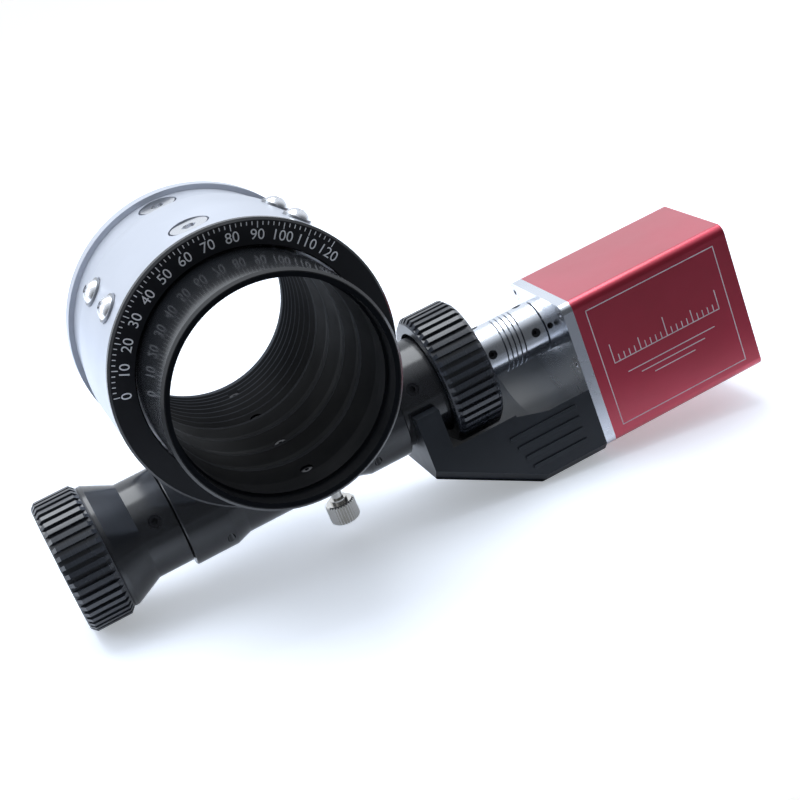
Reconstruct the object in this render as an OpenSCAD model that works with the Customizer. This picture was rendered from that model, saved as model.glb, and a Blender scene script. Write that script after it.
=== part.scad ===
// Rack-and-pinion telescope focuser with a motor drive on its fine shaft.
// Y is the optical axis, with the telescope on +Y. The origin is at the centre of the
// face that seats against the telescope. X runs along the pinion shaft. Z is up.

/* [Focuser body] */
// Wall of the body round its bore
body_wall = 5.275; // [4.5:0.025:10]
// Length of the body, from the face ring to the rear flange
body_len = 60.3; // [56:0.5:80]
// Radial room between the drawtube and the body's bore
guide_room = 3.2; // [2.6:0.1:3.6]
// Length of the relieved band ahead of the rear flange
band_len = 14.7; // [8:0.1:16]
// Depth of the relieved band
band_depth = 1.5; // [0.4:0.1:2]
// Length of the rounded shoulder in front of that band
shoulder_len = 4.5; // [1:0.1:6]
// Radius of the shoulder's rounding
shoulder_curve = 8; // [6:0.5:12]
// How far the rear flange stands out beyond the body
flange_lip = 0.2; // [0:0.05:5]
// Thickness of the rear flange
flange_t = 4.7; // [3:0.1:8]
// Wall of the spigot that enters the telescope
spigot_wall = 3.375; // [3.2:0.025:4.5]
// Length of the spigot
spigot_len = 6; // [4:0.5:10]
// How far the black ring on the front face stands out beyond the body
ring_rim = 0.3; // [0:0.05:5]
// Thickness of that ring
ring_t = 2.5; // [2:0.1:5]
// Gap between the ring and the drawtube
ring_gap = 0.6; // [0.4:0.1:1]

/* [Drawtube] */
// Outside diameter of the drawtube
tube_d = 69.85; // [66:0.05:72]
// Wall of the drawtube at the crests of its light-trap steps
tube_wall = 3.175; // [2.6:0.025:4.5]
// Length of the drawtube
tube_len = 109.2; // [105:0.2:125]
// How far the drawtube stands out of the telescope face, at the back
tube_back = 13.6; // [6:0.1:20]
// Radial depth of the recess inside the front end
mouth_step = 0.65; // [0.3:0.05:1]
// Length of that recess along the axis
mouth_depth = 6.7; // [3:0.1:9]
// Depth of one light-trap step
trap_depth = 1; // [0.4:0.1:1.2]
// Share of each step's length that is level
trap_level = 0.35; // [0.2:0.05:0.6]
// Distance from the front recess to the first step
trap_start = 4.4; // [2:0.1:8]
// Length of the first of the fine steps
fine_trap = 6.3; // [4:0.1:8]
// How much shorter each fine step is than the last
fine_shrink = 0.9; // [0.85:0.01:1]
// Number of fine steps
fine_count = 8; // [4:1:8]

/* [Rack and pinion] */
// Depth of the pinion axis below the drawtube's underside
pinion_drop = 8.275; // [8:0.025:8.6]
// Distance of the pinion axis in front of the telescope face
axis_front = 35.5; // [30:0.5:40]
// Tooth module
tooth_module = 0.6; // [0.5:0.05:0.7]
// Number of pinion teeth
pinion_teeth = 16; // [14:1:18]
// Tooth thickness as a share of the pitch
tooth_share = 0.43; // [0.38:0.01:0.46]
// Face width of the pinion
pinion_w = 12; // [8:1:14]
// Width of the rack
rack_w = 8; // [6:0.5:9]
// Length of the rack
rack_len = 86; // [80:1:90]
// Distance of the rack's front end behind the drawtube's mouth
rack_front = 17; // [12:0.5:20]
// Depth of the rack's seat in the drawtube
rack_sink = 0.75; // [0.5:0.05:1]
// Room around the rack in its channel
rack_room = 0.9; // [0.6:0.1:1.2]
// Diameter of the pinion shaft
shaft_d = 8; // [6:0.5:9]

/* [Pinion housing] */
// Diameter of the housing's ends
housing_d = 36.4; // [32:0.2:37]
// Length of the housing along the shaft
housing_len = 76.8; // [72:0.2:84]
// Diameter of the housing's waist
waist_d = 33.2; // [30:0.2:36]
// Length of the waist
waist_len = 38; // [20:1:44]
// Diameter of the bearing caps
cap_d = 32.4; // [28:0.2:34]
// Length of the caps' straight part
cap_len = 12.2; // [10:0.1:16]
// Diameter of the left cap's flared end
flare_d = 41.2; // [36:0.2:43]
// Length of the left cap's flare
flare_len = 10.4; // [6:0.1:14]
// How far the right cap reaches into the right knob
cap_reach = 9; // [6:0.5:10]
// Outside diameter of the shaft bearings
bearing_d = 16; // [14:0.5:18]
// Width of the shaft bearings
bearing_w = 5; // [4:0.5:7]

/* [Knobs] */
// Diameter over the knob's ribs
knob_d = 44.4; // [40:0.2:46]
// Length of the left knob
left_knob_len = 14.9; // [12:0.1:20]
// Length of the right knob
right_knob_len = 16.3; // [14:0.1:20]
// Number of ribs round a knob
knob_ribs = 46; // [36:1:52]
// Depth of the grooves between the ribs
groove_depth = 1.3; // [0.8:0.1:1.6]
// Width of the grooves between the ribs
groove_w = 1.5; // [1:0.1:1.8]
// Chamfer on the knob's ends
knob_chamfer = 1.6; // [0.8:0.1:2.2]
// Gap between the left cap and its knob
knob_gap = 0.5; // [0.4:0.1:1]

/* [Lock screw] */
// Distance of the lock screw to the right of the optical axis
lock_x = 12; // [9:0.5:14]
// Thread diameter of the lock screw
lock_thread = 4; // [3:0.5:5]
// Diameter of the knurled head
lock_head_d = 10; // [8:0.5:12]
// Height of the knurled head
lock_head_h = 7; // [5:0.5:9]
// Gap between the lock pad and the shaft
lock_gap = 0.9; // [0.8:0.1:1.2]

/* [Drive coupling] */
// Diameter of the fine shaft
fine_d = 5; // [4:0.5:6]
// Outside diameter of the beam coupling
coupling_d = 18; // [16:0.5:20]
// Length of the beam coupling
coupling_len = 23.9; // [20:0.1:28]
// Gap between the right knob and the coupling
coupling_gap = 1.3; // [0.6:0.1:3]
// Number of slots in the coupling
slot_count = 5; // [3:1:6]
// Width of a slot
slot_w = 0.45; // [0.3:0.05:0.7]
// Tilt of a slot
slot_tilt = 5; // [2:0.5:8]

/* [Motor unit] */
// Width of the plate and the case
case_w = 39.8; // [38.6:0.2:46]
// Height of the plate and the case
case_h = 52.6; // [46:0.2:62]
// How far the top of the case stands above the shaft axis
case_rise = 10.6; // [10:0.1:13]
// Length of the case, without its end cover
case_len = 54.9; // [50:0.1:70]
// Wall of the case
case_wall = 2.2; // [1.6:0.1:2.4]
// Corner radius of the case
case_corner = 3; // [2:0.5:4]
// Thickness of the motor plate
plate_t = 3.6; // [3:0.1:5]
// Length of the nose in front of the plate
nose_len = 2.6; // [2.4:0.1:5]
// Thickness of the end cover
cover_t = 3.5; // [2.5:0.1:5]
// Width between the plate screws
plate_hole_w = 34; // [30:0.5:34]
// Height between the plate screws
plate_hole_h = 18.6; // [16:0.2:22]
// Diameter of the motor's gearbox
gearbox_d = 26; // [22:0.5:26]
// Length of the gearbox
gearbox_len = 19; // [14:0.5:22]
// Diameter of the motor
motor_d = 24; // [18:0.5:24]
// Length of the motor
motor_len = 26; // [20:0.5:29]

/* [Motor bracket] */
// Width of the bracket
bracket_w = 39.8; // [38:0.2:46]
// Depth of the bracket's low end below the shaft axis
bracket_low = 43.4; // [40:0.2:48]
// Depth of the bracket's shallow end below the shaft axis
bracket_shallow = 24.2; // [22:0.2:28]
// Length of the bracket's level foot
bracket_foot = 24.2; // [18:0.1:30]
// Depth of the lip below the shaft axis
bracket_lip = 1.3; // [0.5:0.1:4]
// Length of the cradle under the right cap
cradle_len = 8.2; // [6:0.1:9]
// Clearance round the knob, in its slot
knob_slot_room = 3.2; // [2.2:0.1:4]
// Radius of the hollow under the coupling
saddle_r = 27.6; // [26:0.2:32]
// How far the hollow is set to the -Y side of the shaft axis
saddle_shift = 0.6; // [0:0.1:1]
// Chamfer along the bracket's lower edges
bracket_chamfer = 3; // [1:0.2:4]

/* [Hidden] */
$fn = 96;

eps = 0.01;
fit = 0.1;            // clearance between fixed pieces
running = 0.03;       // radial clearance of a shaft in its bearing
tube_r = tube_d / 2;
tube_bore_r = tube_r - tube_wall;
mouth_r = tube_bore_r + mouth_step;
bore_r = tube_r + guide_room;
body_r = bore_r + body_wall;
flange_r = body_r + flange_lip;
spigot_r = bore_r + spigot_wall;
ring_r = body_r + ring_rim;
body_back = -flange_t;
body_front = body_back - body_len;
shoulder_y = body_back - band_len - shoulder_len;
ring_front = body_front - ring_t;
ring_lip = 4;         // length of the ring's lip inside the body
ring_bore_r = tube_r + ring_gap;
tube_rear = tube_back;
tube_mouth = tube_back - tube_len;

// rack and pinion
axis_y = -axis_front;
axis_z = -(tube_r + pinion_drop);
pitch = PI * tooth_module;
pitch_r = tooth_module * pinion_teeth / 2;
addendum = 0.9 * tooth_module;
dedendum = 1.2 * tooth_module;
pressure = 20;
rack_pitch_z = axis_z + pitch_r;
rack_back_z = -(tube_r - rack_sink);
rack_y0 = tube_mouth + rack_front;
rack_y1 = rack_y0 + rack_len;
rack_tip_z = rack_pitch_z - addendum;
channel_z = rack_tip_z - rack_room;
channel_w = rack_w + 2 * rack_room;
shaft_r = shaft_d / 2;
rack_screw_d = 2;
rack_screw_head = 3.6;
rack_screw_ends = 3;  // distance of the outer screws from the rack's ends
rack_screw_count = 4;
rack_screw_seat = tube_bore_r + trap_depth + 0.1;

// guide screws
guide_angles = [45, 135];
guide_ys = [axis_y + 4.6, axis_y - 17.4];
guide_thread = 4;
guide_head_d = 7.6;
guide_head_h = 2.3;
guide_flat = 0.5;     // depth of the spot face under a guide screw's washer
guide_washer_d = 8.8;
guide_washer_t = 1.2;
guide_seat = body_r - guide_flat;
guide_pad_d = 7;
guide_pad_gap = 0.35;
guide_pad_t = 1.6;

// clamp screws at the top of the body
clamp_ys = [body_back - band_len / 2, axis_y - 19.1];
clamp_faces = [body_r - band_depth, body_r];
clamp_pocket_d = 12.8;
clamp_pocket_depth = 2.6;
clamp_head_d = 11.6;
clamp_head_h = 2.2;
clamp_thread = 3;
function clamp_seat(i) = clamp_faces[i] - clamp_pocket_depth;

// flange screws
flange_screw_count = 4;
flange_screw_r = (bore_r + spigot_r) / 2;
flange_screw_d = 2;
flange_screw_head = 2.8;

// pinion housing
housing_r = housing_d / 2;
housing_x = housing_len / 2;
cap_r = cap_d / 2;
left_cap_end = housing_x + cap_len + flare_len;
left_knob_x0 = left_cap_end + knob_gap;
left_knob_x1 = left_knob_x0 + left_knob_len;
knob_recess_r = cap_r + 1.2;
knob_recess_depth = 7;
right_cap_end = housing_x + cap_len + cap_reach;
right_knob_x0 = right_cap_end + 0.8 - knob_recess_depth + 0.8;
right_knob_x1 = right_knob_x0 + right_knob_len;
cap_bore_r = shaft_r + 0.6;
cap_screw_x = housing_x + 6.6;
cap_screw_angle = 24; // rise of the cap screws above the level
cap_screw_d = 4;
cap_screw_len = 7;
housing_screw_x = housing_x - 12.4;
housing_screw_y = 15;
housing_screw_d = 2.5;
housing_screw_sink = 1;
housing_screw_top = axis_z + 15.4;
pinion_pocket_r = pitch_r + addendum + 0.8;
pinion_pocket_w = pinion_w + 1.6;
sleeve_r = 6;         // outside radius of the pinion shaft's hollow right end
sleeve_bore_r = 3.2;
sleeve_x0 = housing_x + 8;
cap_cavity_r = sleeve_r + 1.5;
fine_r = fine_d / 2;
fine_bush_len = 5;
fine_x0 = sleeve_x0 + 4;

// lock screw
lock_r = lock_thread / 2;
lock_pad_r = lock_r - 0.3;
lock_pad_top = axis_z - shaft_r - lock_gap;
lock_pad_len = 4;
lock_screw_top = lock_pad_top - lock_pad_len;
lock_head_top = axis_z - waist_d / 2 - 6.5;

// coupling and motor unit
coupling_x0 = right_knob_x1 + coupling_gap;
coupling_x1 = coupling_x0 + coupling_len;
coupling_r = coupling_d / 2;
shaft_split = (coupling_x0 + coupling_x1) / 2;
coupling_screw_d = 3;
coupling_screw_inset = 3.8;
coupling_screw_angle = 12; // rise of the coupling's screws above the level
nose_screw_d = 2;
nose_x0 = coupling_x1 + 0.3;
plate_x0 = nose_x0 + nose_len;
plate_x1 = plate_x0 + plate_t;
case_x1 = plate_x1 + case_len;
cover_x1 = case_x1 + cover_t;
case_top = axis_z + case_rise;
case_bottom = case_top - case_h;
case_mid = (case_top + case_bottom) / 2;
plate_hole_z = case_top - 3.3 - plate_hole_h / 2;
plate_screw_d = 3;
plate_screw_head = 5.2;
plate_screw_len = 10;
lug_r = 2.6;
gearbox_z = case_top - case_wall - gearbox_d / 2 - 0.6;
lug_in = case_wall + lug_r - 0.6;  // distance of the cover screws inside the case's faces
cover_screw_w = case_w - 2 * lug_in;
cover_screw_h = case_h - 2 * lug_in;
cover_screw_d = 2.5;
board_z = case_bottom + 2 * lug_in - 0.6;
board_t = 1.6;
board_w = 28;
board_x0 = plate_x1 + 6;
board_x1 = case_x1 - 1;
power_d = 8;
power_y = -9;
data_w = 9.4;
data_h = 4;
data_y = 7;
inlet_z = board_z + board_t + 4.4;

// bracket
bracket_x0 = housing_x + 2.6;
cradle_x1 = bracket_x0 + cradle_len;
knob_slot_r = knob_d / 2 + knob_slot_room;
slope_x0 = coupling_x0 + 0.6;
slope_x1 = slope_x0 + 11;
foot_x0 = plate_x0 - bracket_foot;
bracket_screw_x = bracket_x0 + cradle_len / 2;
bracket_screw_y = 8;
bracket_screw_seat = 2;  // height of the heads' seats above the bracket's shallow end
bracket_plate_screw_y = 11;
bracket_plate_screw_z = axis_z - bracket_low + 9;

// A cylinder along X between two places, on the pinion axis
module along_x(x0, x1, r, y = axis_y, z = axis_z)
    translate([x0, y, z]) rotate([0, 90, 0]) cylinder(h = x1 - x0, r = r);

// A cone along X on the pinion axis
module cone_x(x0, x1, r0, r1)
    translate([x0, axis_y, axis_z]) rotate([0, 90, 0]) cylinder(h = x1 - x0, r1 = r0, r2 = r1);

// A cylinder along Y on the optical axis
module along_y(y0, y1, r)
    translate([0, y1, 0]) rotate([90, 0, 0]) cylinder(h = y1 - y0, r = r);

// A solid turned about the optical axis, from points of radius and place along Y
module turned_y(points)
    rotate([-90, 0, 0]) rotate_extrude() polygon(points);

// A solid turned about the pinion axis, from points of radius and place along X
module turned_x(points)
    translate([0, axis_y, axis_z]) rotate([0, 90, 0]) rotate_extrude() polygon(points);

// Places its children radially out from the optical axis
module radial(angle, y, r = 0)
    translate([0, y, 0]) rotate([0, 90 - angle, 0]) translate([0, 0, r]) children();

// Places its children radially out from the pinion axis, on the -Y side, pointing out
module off_shaft(x, rise, r)
    translate([x, axis_y, axis_z]) rotate([90 - rise, 0, 0]) translate([0, 0, r]) children();

// A hexagon socket
module hex_socket(across, depth)
    translate([0, 0, -depth]) cylinder(h = depth + 1, d = across / cos(30), $fn = 6);

// A domed screw head that stands on z = 0
module button_head(d, h, socket) {
    curve = (d * d / 4 + h * h) / (2 * h);
    difference() {
        intersection() {
            cylinder(h = h, d = d);
            translate([0, 0, h - curve]) sphere(r = curve);
        }
        translate([0, 0, h]) hex_socket(socket, 1.2);
    }
}

// A socket set screw that points along Z, with its outer end at z = 0
module set_screw(d, len) {
    difference() {
        translate([0, 0, -len]) cylinder(h = len, d = d);
        hex_socket(d / 2, 1.4);
    }
}

// A countersunk screw whose flat head is at z = 0 and whose thread points down
module flat_screw(d, head, len) {
    difference() {
        union() {
            translate([0, 0, -(head - d) / 2]) cylinder(h = (head - d) / 2, d1 = d, d2 = head);
            translate([0, 0, -len]) cylinder(h = len, d = d);
        }
        hex_socket(d * 0.65, (head - d) / 2);
    }
}

// The same screw's hole
module flat_screw_hole(d, head, len) {
    depth = (head - d) / 2 + fit / 2;
    translate([0, 0, -depth]) cylinder(h = depth, d1 = d + fit, d2 = head + 2 * fit);
    translate([0, 0, -len - fit]) cylinder(h = len + fit, d = d + fit);
    translate([0, 0, -eps]) cylinder(h = 2, d = head + 2 * fit);
}

// A rounded rectangle, long side along Y
module rounded(w, h, r) {
    square([w - 2 * r, h], center = true);
    square([w, h - 2 * r], center = true);
    for (sy = [-1, 1], sz = [-1, 1])
        translate([sy * (w / 2 - r), sz * (h / 2 - r)]) circle(r = r);
}

// A slab in the shape of the motor case's section, between two places along X
module case_slab(x0, x1, inset = 0)
    translate([x0, axis_y, case_mid]) rotate([90, 0, 90]) linear_extrude(x1 - x0)
        rounded(case_w - 2 * inset, case_h - 2 * inset, max(case_corner - inset, 0.8));

// The channel that the rack runs through
module rack_channel(y0, y1)
    translate([-channel_w / 2, y0, channel_z]) cube([channel_w, y1 - y0, -channel_z - tube_r + 3]);

// The two counterbored holes along the top of the body
module clamp_pockets()
    for (i = [0 : len(clamp_ys) - 1]) {
        radial(90, clamp_ys[i]) cylinder(h = body_r + 2, d = clamp_thread + fit);
        radial(90, clamp_ys[i], clamp_seat(i)) cylinder(h = 6, d = clamp_pocket_d);
    }

// The rounded shoulder where the body steps down to the band
module shoulder() intersection() {
    rotate([-90, 0, 0]) rotate_extrude()
        translate([body_r - shoulder_curve, shoulder_y]) circle(r = shoulder_curve);
    along_y(shoulder_y - eps, shoulder_y + shoulder_len, body_r + 1);
}

module body_housing() color("Gainsboro") difference() {
    union() {
        along_y(body_front, shoulder_y, body_r);
        shoulder();
        along_y(body_back - band_len, body_back, body_r - band_depth);
    }
    along_y(body_front - 1, body_back + 1, bore_r);
    along_x(-body_r, body_r, housing_r + fit / 2);
    rack_channel(body_front - 1, body_back + 1);
    for (a = guide_angles, y = guide_ys) {
        radial(a, y) cylinder(h = body_r + 2, d = guide_thread + fit);
        radial(a, y, guide_seat) cylinder(h = 5, d = guide_washer_d + 0.6);
    }
    clamp_pockets();
    for (i = [0 : flange_screw_count - 1])
        radial(45 + i * 360 / flange_screw_count, 0, flange_screw_r)
            rotate([90, 0, 0]) cylinder(h = flange_t + 7, d = flange_screw_d + fit);
    for (sx = [-1, 1], sy = [-1, 1])
        translate([sx * housing_screw_x, axis_y + sy * housing_screw_y, axis_z])
            cylinder(h = housing_screw_top - axis_z + 0.5, d = housing_screw_d + fit);
}

module rear_flange() color("Silver") difference() {
    union() {
        along_y(body_back, 0, flange_r);
        along_y(-eps, spigot_len, spigot_r);
    }
    along_y(body_back - 1, spigot_len + 1, bore_r);
    rack_channel(body_back - 1, spigot_len + 1);
    clamp_pockets();
    for (i = [0 : flange_screw_count - 1])
        radial(45 + i * 360 / flange_screw_count, spigot_len, flange_screw_r) rotate([-90, 0, 0])
            flat_screw_hole(flange_screw_d, flange_screw_head, spigot_len + flange_t + 6);
}

module rear_flange_screws() color("Silver")
    for (i = [0 : flange_screw_count - 1])
        radial(45 + i * 360 / flange_screw_count, spigot_len, flange_screw_r) rotate([-90, 0, 0])
            flat_screw(flange_screw_d, flange_screw_head, spigot_len + flange_t + 6);

module face_ring() color("#15161a") difference() {
    union() {
        turned_y([[ring_bore_r, ring_front + 0.4], [ring_bore_r + 0.4, ring_front],
            [ring_r - 0.7, ring_front], [ring_r, ring_front + 0.7],
            [ring_r, body_front], [ring_bore_r, body_front]]);
        turned_y([[ring_bore_r, body_front - eps], [bore_r - fit, body_front - eps],
            [bore_r - fit, body_front + ring_lip], [ring_bore_r, body_front + ring_lip]]);
    }
    rack_channel(ring_front - 1, body_front + ring_lip + 1);
}

// Lengths and places along Y of the light-trap steps inside the drawtube
wide_traps = [18.1, 14.8, 14.9, 12.4];
fine_traps = [for (i = [0 : fine_count - 1]) fine_trap * pow(fine_shrink, i)];
trap_lens = concat(wide_traps, fine_traps);
function total(v, n) = n <= 0 ? 0 : v[n - 1] + total(v, n - 1);
trap_ys = [for (i = [0 : len(trap_lens)]) tube_mouth + mouth_depth + trap_start + total(trap_lens, i)];

// The drawtube's inside outline, front to back: each step is a shallow cone that closes
// toward the telescope and ends in a sharp crest
trap_outline = [for (i = [0 : len(trap_lens) - 1])
    each [[tube_bore_r, trap_ys[i]], [tube_bore_r + trap_depth, trap_ys[i]],
        [tube_bore_r + trap_depth, trap_ys[i] + trap_lens[i] * trap_level]]];

// Places along Y of the rack's screws
rack_screw_ys = [for (i = [0 : rack_screw_count - 1]) rack_y0 + rack_screw_ends
    + i * (rack_len - 2 * rack_screw_ends) / (rack_screw_count - 1)];

module drawtube() color("#101114") difference() {
    turned_y(concat([[mouth_r, tube_mouth], [mouth_r, tube_mouth + mouth_depth],
        [tube_bore_r, tube_mouth + mouth_depth]], trap_outline,
        [[tube_bore_r, trap_ys[len(trap_lens)]], [tube_bore_r, tube_rear], [tube_r - 0.8, tube_rear],
        [tube_r, tube_rear - 0.8], [tube_r, tube_mouth + 0.8], [tube_r - 0.8, tube_mouth]]));
    translate([-rack_w / 2 - fit / 2, rack_y0 - fit / 2, rack_back_z - 4])
        cube([rack_w + fit, rack_len + fit, 4]);
    for (y = rack_screw_ys)
        translate([0, y, -rack_screw_seat])
            flat_screw_hole(rack_screw_d, rack_screw_head, tube_wall + 1);
}

// One flank-to-flank outline of the rack, tooth by tooth
function rack_tooth(i) = let (c = axis_y + i * pitch, half = pitch * tooth_share / 2,
    out = addendum * tan(pressure), root = dedendum * tan(pressure))
    [[c - half - root, rack_pitch_z + dedendum], [c - half + out, rack_tip_z],
     [c + half - out, rack_tip_z], [c + half + root, rack_pitch_z + dedendum]];
rack_first = ceil((rack_y0 - axis_y) / pitch + 0.6);
rack_last = floor((rack_y1 - axis_y) / pitch - 0.6);

module rack() color("Silver") difference() {
    translate([-rack_w / 2, 0, 0]) rotate([90, 0, 90]) linear_extrude(rack_w)
        polygon(concat([[rack_y0, rack_back_z], [rack_y0, rack_pitch_z + dedendum]],
            [for (i = [rack_first : rack_last]) each rack_tooth(i)],
            [[rack_y1, rack_pitch_z + dedendum], [rack_y1, rack_back_z]]));
    for (y = rack_screw_ys)
        translate([0, y, rack_back_z - 2.6]) cylinder(h = 4, d = rack_screw_d + fit);
}

module rack_screws() color("Silver")
    for (y = rack_screw_ys)
        translate([0, y, -rack_screw_seat])
            flat_screw(rack_screw_d, rack_screw_head, -rack_back_z - rack_screw_seat + 2.2);

module guide_pads() color("Ivory")
    for (a = guide_angles, y = guide_ys)
        radial(a, y, tube_r + guide_pad_gap) cylinder(h = guide_pad_t, d = guide_pad_d);

module guide_washers() color("DimGray")
    for (a = guide_angles, y = guide_ys)
        radial(a, y, guide_seat) difference() {
            cylinder(h = guide_washer_t, d = guide_washer_d);
            translate([0, 0, -1]) cylinder(h = guide_washer_t + 2, d = guide_thread + fit);
        }

module guide_screws() color("White")
    for (a = guide_angles, y = guide_ys)
        radial(a, y, guide_seat + guide_washer_t) {
            button_head(guide_head_d, guide_head_h, 2.5);
            reach = guide_seat + guide_washer_t - tube_r - guide_pad_gap - guide_pad_t;
            translate([0, 0, -reach]) cylinder(h = reach, d = guide_thread);
        }

module clamp_screws() color("Silver")
    for (i = [0 : len(clamp_ys) - 1])
        radial(90, clamp_ys[i], clamp_seat(i)) difference() {
            union() {
                cylinder(h = clamp_head_h, d = clamp_head_d);
                translate([0, 0, -1.1]) cylinder(h = 1.1 + eps, d = clamp_thread);
            }
            translate([0, 0, clamp_head_h]) hex_socket(4, 1.4);
        }

module pinion_housing() color("#17181c") difference() {
    turned_x([[0, -housing_x], [housing_r - 0.3, -housing_x], [housing_r, -housing_x + 0.3],
        [housing_r, -waist_len / 2 - 5], [waist_d / 2, -waist_len / 2], [waist_d / 2, waist_len / 2],
        [housing_r, waist_len / 2 + 5], [housing_r, housing_x - 0.3],
        [housing_r - 0.3, housing_x], [0, housing_x]]);
    along_y(body_front - 1, 1, bore_r);
    rack_channel(body_front - 1, 1);
    along_x(-housing_x - 1, housing_x + 1, cap_bore_r);
    along_x(-pinion_pocket_w / 2, pinion_pocket_w / 2, pinion_pocket_r);
    for (s = [-1, 1])
        along_x(s * (housing_x - bearing_w / 2) - bearing_w / 2 - 0.5,
            s * (housing_x - bearing_w / 2) + bearing_w / 2 + 0.5, bearing_d / 2 + fit / 2);
    translate([lock_x, axis_y, axis_z - housing_r - 1]) cylinder(h = housing_r, d = lock_thread + fit);
    for (sx = [-1, 1], sy = [-1, 1])
        translate([sx * housing_screw_x, axis_y + sy * housing_screw_y, axis_z - housing_r])
            cylinder(h = 2 * housing_r, d = housing_screw_d + fit);
}

// Height of the housing's underside at its small screws
housing_screw_z = axis_z - sqrt(pow(housing_r, 2) - pow(housing_screw_y + housing_screw_d / 2, 2));

module housing_screws() color("#202226")
    for (sx = [-1, 1], sy = [-1, 1])
        translate([sx * housing_screw_x, axis_y + sy * housing_screw_y,
            housing_screw_z + housing_screw_sink]) mirror([0, 0, 1])
                set_screw(housing_screw_d, housing_screw_top - housing_screw_z - housing_screw_sink);

module bearing() color("Silver") difference() {
    along_x(housing_x - bearing_w, housing_x, bearing_d / 2);
    along_x(0, housing_x + 1, shaft_r + running);
}
module left_bearing() mirror([1, 0, 0]) bearing();
module right_bearing() bearing();

// The screws that lock the caps, one on each side
module cap_screw_places() for (s = [-1, 1]) off_shaft(s * cap_screw_x, cap_screw_angle, cap_r) children();

module left_cap() color("#17181c") difference() {
    turned_x([[cap_bore_r, -left_cap_end], [flare_d / 2, -left_cap_end],
        [flare_d / 2, -left_cap_end + 1.2], [cap_r, -housing_x - cap_len], [cap_r, -housing_x - 0.5],
        [cap_r - 0.5, -housing_x], [cap_bore_r, -housing_x]]);
    cap_screw_places() translate([0, 0, -cap_screw_len]) cylinder(h = cap_screw_len + 2, d = cap_screw_d + fit);
}

module right_cap() color("#17181c") difference() {
    turned_x([[cap_bore_r, housing_x], [cap_r - 0.5, housing_x], [cap_r, housing_x + 0.5],
        [cap_r, right_cap_end - 0.5], [cap_r - 0.5, right_cap_end], [cap_cavity_r, right_cap_end],
        [cap_cavity_r, sleeve_x0 - 1], [cap_bore_r, sleeve_x0 - 1]]);
    cap_screw_places() translate([0, 0, -cap_screw_len]) cylinder(h = cap_screw_len + 2, d = cap_screw_d + fit);
    for (s = [-1, 1])
        translate([bracket_screw_x, axis_y + s * bracket_screw_y, axis_z - cap_r - 1])
            cylinder(h = 8, d = 3 + fit);
}

module cap_screws() color("#202226")
    cap_screw_places() translate([0, 0, -0.5]) set_screw(cap_screw_d, cap_screw_len - 0.6);

// Half the angle that a pinion tooth spans at radius r
base_r = pitch_r * cos(pressure);
function involute(a) = tan(a) * 180 / PI - a;
function half_tooth(r) = pitch * tooth_share / 2 / pitch_r * 180 / PI + involute(pressure)
    - involute(acos(min(1, base_r / r)));
flank_r = max(pitch_r - dedendum, base_r);
tooth_rs = [for (k = [0 : 4]) flank_r + k / 4 * (pitch_r + addendum - flank_r)];

// One pinion tooth's outline, as points of radius and angle
function pinion_tooth(mid) = let (root = pitch_r - dedendum, wide = half_tooth(tooth_rs[0]))
    concat([[root, mid - wide]], [for (r = tooth_rs) [r, mid - half_tooth(r)]],
        [for (k = [4 : -1 : 0]) [tooth_rs[k], mid + half_tooth(tooth_rs[k])]], [[root, mid + wide]]);

module pinion_teeth_2d() polygon([for (i = [0 : pinion_teeth - 1])
    each [for (q = pinion_tooth((i + 0.5) * 360 / pinion_teeth)) [q[0] * cos(q[1]), q[0] * sin(q[1])]]]);

module pinion_shaft() color("Silver") difference() {
    union() {
        along_x(-left_knob_x1 + 3, -pinion_w / 2 + eps, shaft_r);
        along_x(pinion_w / 2 - eps, sleeve_x0 + eps, shaft_r);
        along_x(sleeve_x0, right_knob_x1 - 1.5, sleeve_r);
        translate([-pinion_w / 2, axis_y, axis_z]) rotate([90, 0, 90]) rotate([0, 0, 90])
            linear_extrude(pinion_w) pinion_teeth_2d();
    }
    along_x(fine_x0 - 1, right_knob_x1, sleeve_bore_r);
    along_x(-left_knob_x1, -left_knob_x1 + 12, 1.5 + fit / 2);
}

// The ribbed outline of a knob, chamfered at both ends
module knob_blank(x0, x1) difference() {
    turned_x([[0, x0], [knob_d / 2 - knob_chamfer, x0], [knob_d / 2, x0 + knob_chamfer],
        [knob_d / 2, x1 - knob_chamfer], [knob_d / 2 - knob_chamfer, x1], [0, x1]]);
    for (i = [0 : knob_ribs - 1])
        translate([x0 - 1, axis_y, axis_z]) rotate([i * 360 / knob_ribs, 0, 0])
            translate([0, -groove_w / 2, knob_d / 2 - groove_depth])
                cube([x1 - x0 + 2, groove_w, groove_depth + 1]);
}

module left_knob() color("#1b1c20") difference() {
    knob_blank(-left_knob_x1, -left_knob_x0);
    along_x(-left_knob_x1 + 3, -left_knob_x0 + 1, shaft_r + fit / 4);
    along_x(-left_knob_x1 - 1, -left_knob_x1 + 4, 1.7);
    turned_x([[0, -left_knob_x1 - 1], [knob_d / 2 - 5, -left_knob_x1 - 1],
        [knob_d / 2 - 6, -left_knob_x1 + 1.2], [0, -left_knob_x1 + 1.2]]);
}

module left_knob_screw() color("Silver")
    translate([-left_knob_x1 + 1.2, axis_y, axis_z]) rotate([0, -90, 0]) {
        button_head(6, 1.8, 2);
        translate([0, 0, -10]) cylinder(h = 10, d = 3);
    }

module right_knob() color("#1b1c20") difference() {
    knob_blank(right_knob_x0, right_knob_x1);
    along_x(right_knob_x0 - 1, right_knob_x0 + knob_recess_depth, knob_recess_r);
    along_x(right_knob_x0, right_knob_x1 + 1, sleeve_r + fit / 4);
    for (s = [-1, 1])
        translate([right_knob_x1 - 4.5, axis_y, axis_z]) rotate([s * 45 - 90, 0, 0])
            cylinder(h = knob_d, d = 3 + fit);
}

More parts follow.
